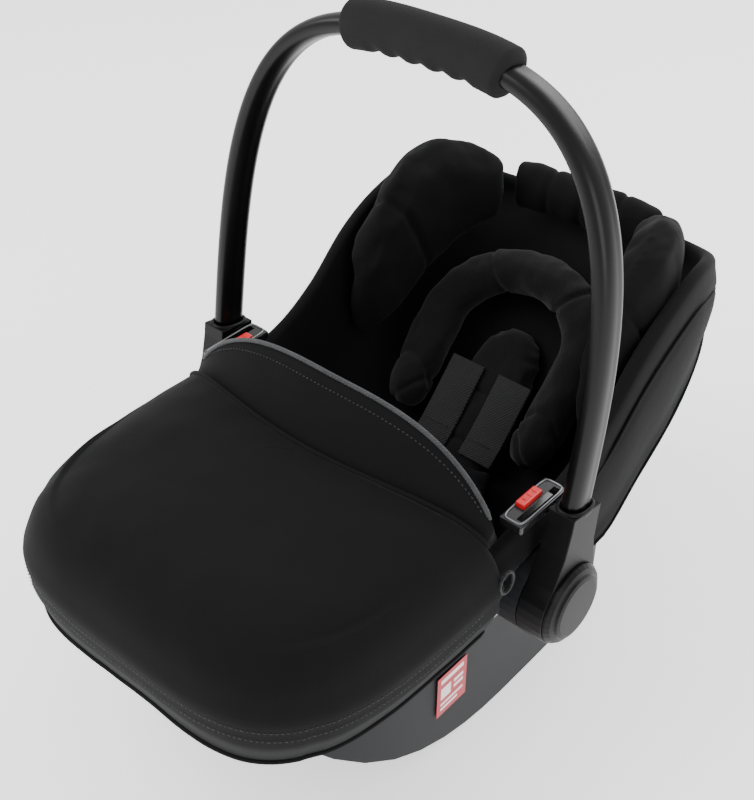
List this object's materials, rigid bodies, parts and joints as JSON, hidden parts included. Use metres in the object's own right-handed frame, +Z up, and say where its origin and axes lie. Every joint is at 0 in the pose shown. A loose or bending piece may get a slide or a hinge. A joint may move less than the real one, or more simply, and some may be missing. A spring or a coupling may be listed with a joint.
{
  "type": "infant car seat",
  "caption": "Rear-facing infant carrier: bucket shell on rocker base, swinging carrying handle, padded cover, harness and foot muff.",
  "frame": {"origin": "on the floor, under the middle of the whole seat", "axes": "+Z up, +Y towards the head end, +X to the right when looking towards the head end from the feet"},
  "size_m": [0.4438, 0.6646, 0.5949],
  "materials": {
    "shell_plastic": "fine moulded texture",
    "black_fitting": "smooth satin",
    "satin_tube": "satin",
    "plated_steel": "plated",
    "grip_foam": "closed-cell foam",
    "black_fabric": "woven polyester",
    "harness_webbing": "woven webbing",
    "red_button": "smooth",
    "printed_label": "printed film"
  },
  "bodies": {
    "carrier": {"adjuster_frame": "black_fitting", "adjuster_strap": "harness_webbing", "back_insert": "black_fabric", "belt_guide_left": "black_fitting", "belt_guide_right": "black_fitting", "buckle_body": "black_fitting", "buckle_tongue_left": "black_fitting", "buckle_tongue_right": "black_fitting", "crotch_pad": "black_fabric", "crotch_strap": "harness_webbing", "foot_muff": "black_fabric", "head_cushion": "black_fabric", "head_roll": "black_fabric", "hub_base_left": "shell_plastic", "hub_base_right": "shell_plastic", "lap_strap_left": "harness_webbing", "lap_strap_right": "harness_webbing", "latch_bar_front": "plated_steel", "latch_bar_rear": "plated_steel", "muff_flap": "black_fabric", "pivot_pin_left": "plated_steel", "pivot_pin_right": "plated_steel", "release_spring_left": "plated_steel", "release_spring_right": "plated_steel", "rocker_base": "shell_plastic", "safety_label": "printed_label", "seat_cover": "black_fabric", "seat_insert": "black_fabric", "seat_shell": "shell_plastic", "shoulder_pad_left": "black_fabric", "shoulder_pad_right": "black_fabric", "shoulder_strap_left": "harness_webbing", "shoulder_strap_right": "harness_webbing", "wing_cushion_left": "black_fabric", "wing_cushion_right": "black_fabric"},
    "handle": {"handle_tube": "satin_tube", "foam_grip": "grip_foam", "handle_socket_left": "shell_plastic", "handle_socket_right": "shell_plastic", "hub_cap_left": "shell_plastic", "hub_cap_right": "shell_plastic"},
    "release_left": {"release_button_left": "red_button"},
    "release_right": {"release_button_right": "red_button"},
    "belt_release_left": {"belt_button_left": "red_button"},
    "belt_release_right": {"belt_button_right": "red_button"},
    "buckle_release": {"buckle_button": "red_button"},
    "adjuster_release": {"adjuster_button": "black_fitting"}
  },
  "joints": [
    {"name": "handle_swing", "type": "hinge", "parent": "carrier", "child": "handle", "pos_m": [0, -0.0293, 0.168], "axis": [1, 0, 0], "range_deg": [-100, 116]},
    {"name": "release_press_left", "type": "slide", "parent": "carrier", "child": "release_left", "axis": [0, -1, 0], "range_m": [0, 0.006], "stiffness_N_per_m": 400, "springref_m": -0.002, "deforming": ["release_spring_left"]},
    {"name": "release_press_right", "type": "slide", "parent": "carrier", "child": "release_right", "axis": [0, -1, 0], "range_m": [0, 0.006], "stiffness_N_per_m": 400, "springref_m": -0.002, "deforming": ["release_spring_right"]},
    {"name": "belt_press_left", "type": "slide", "parent": "carrier", "child": "belt_release_left", "axis": [0, 0, -1], "range_m": [0, 0.003], "stiffness_N_per_m": 500, "springref_m": -0.002},
    {"name": "belt_press_right", "type": "slide", "parent": "carrier", "child": "belt_release_right", "axis": [0, 0, -1], "range_m": [0, 0.003], "stiffness_N_per_m": 500, "springref_m": -0.002},
    {"name": "buckle_press", "type": "slide", "parent": "carrier", "child": "buckle_release", "axis": [0, 0, -1], "range_m": [0, 0.003], "stiffness_N_per_m": 1500, "springref_m": -0.002},
    {"name": "adjuster_press", "type": "slide", "parent": "carrier", "child": "adjuster_release", "axis": [0, 0, -1], "range_m": [0, 0.003], "stiffness_N_per_m": 800, "springref_m": -0.002}
  ]
}
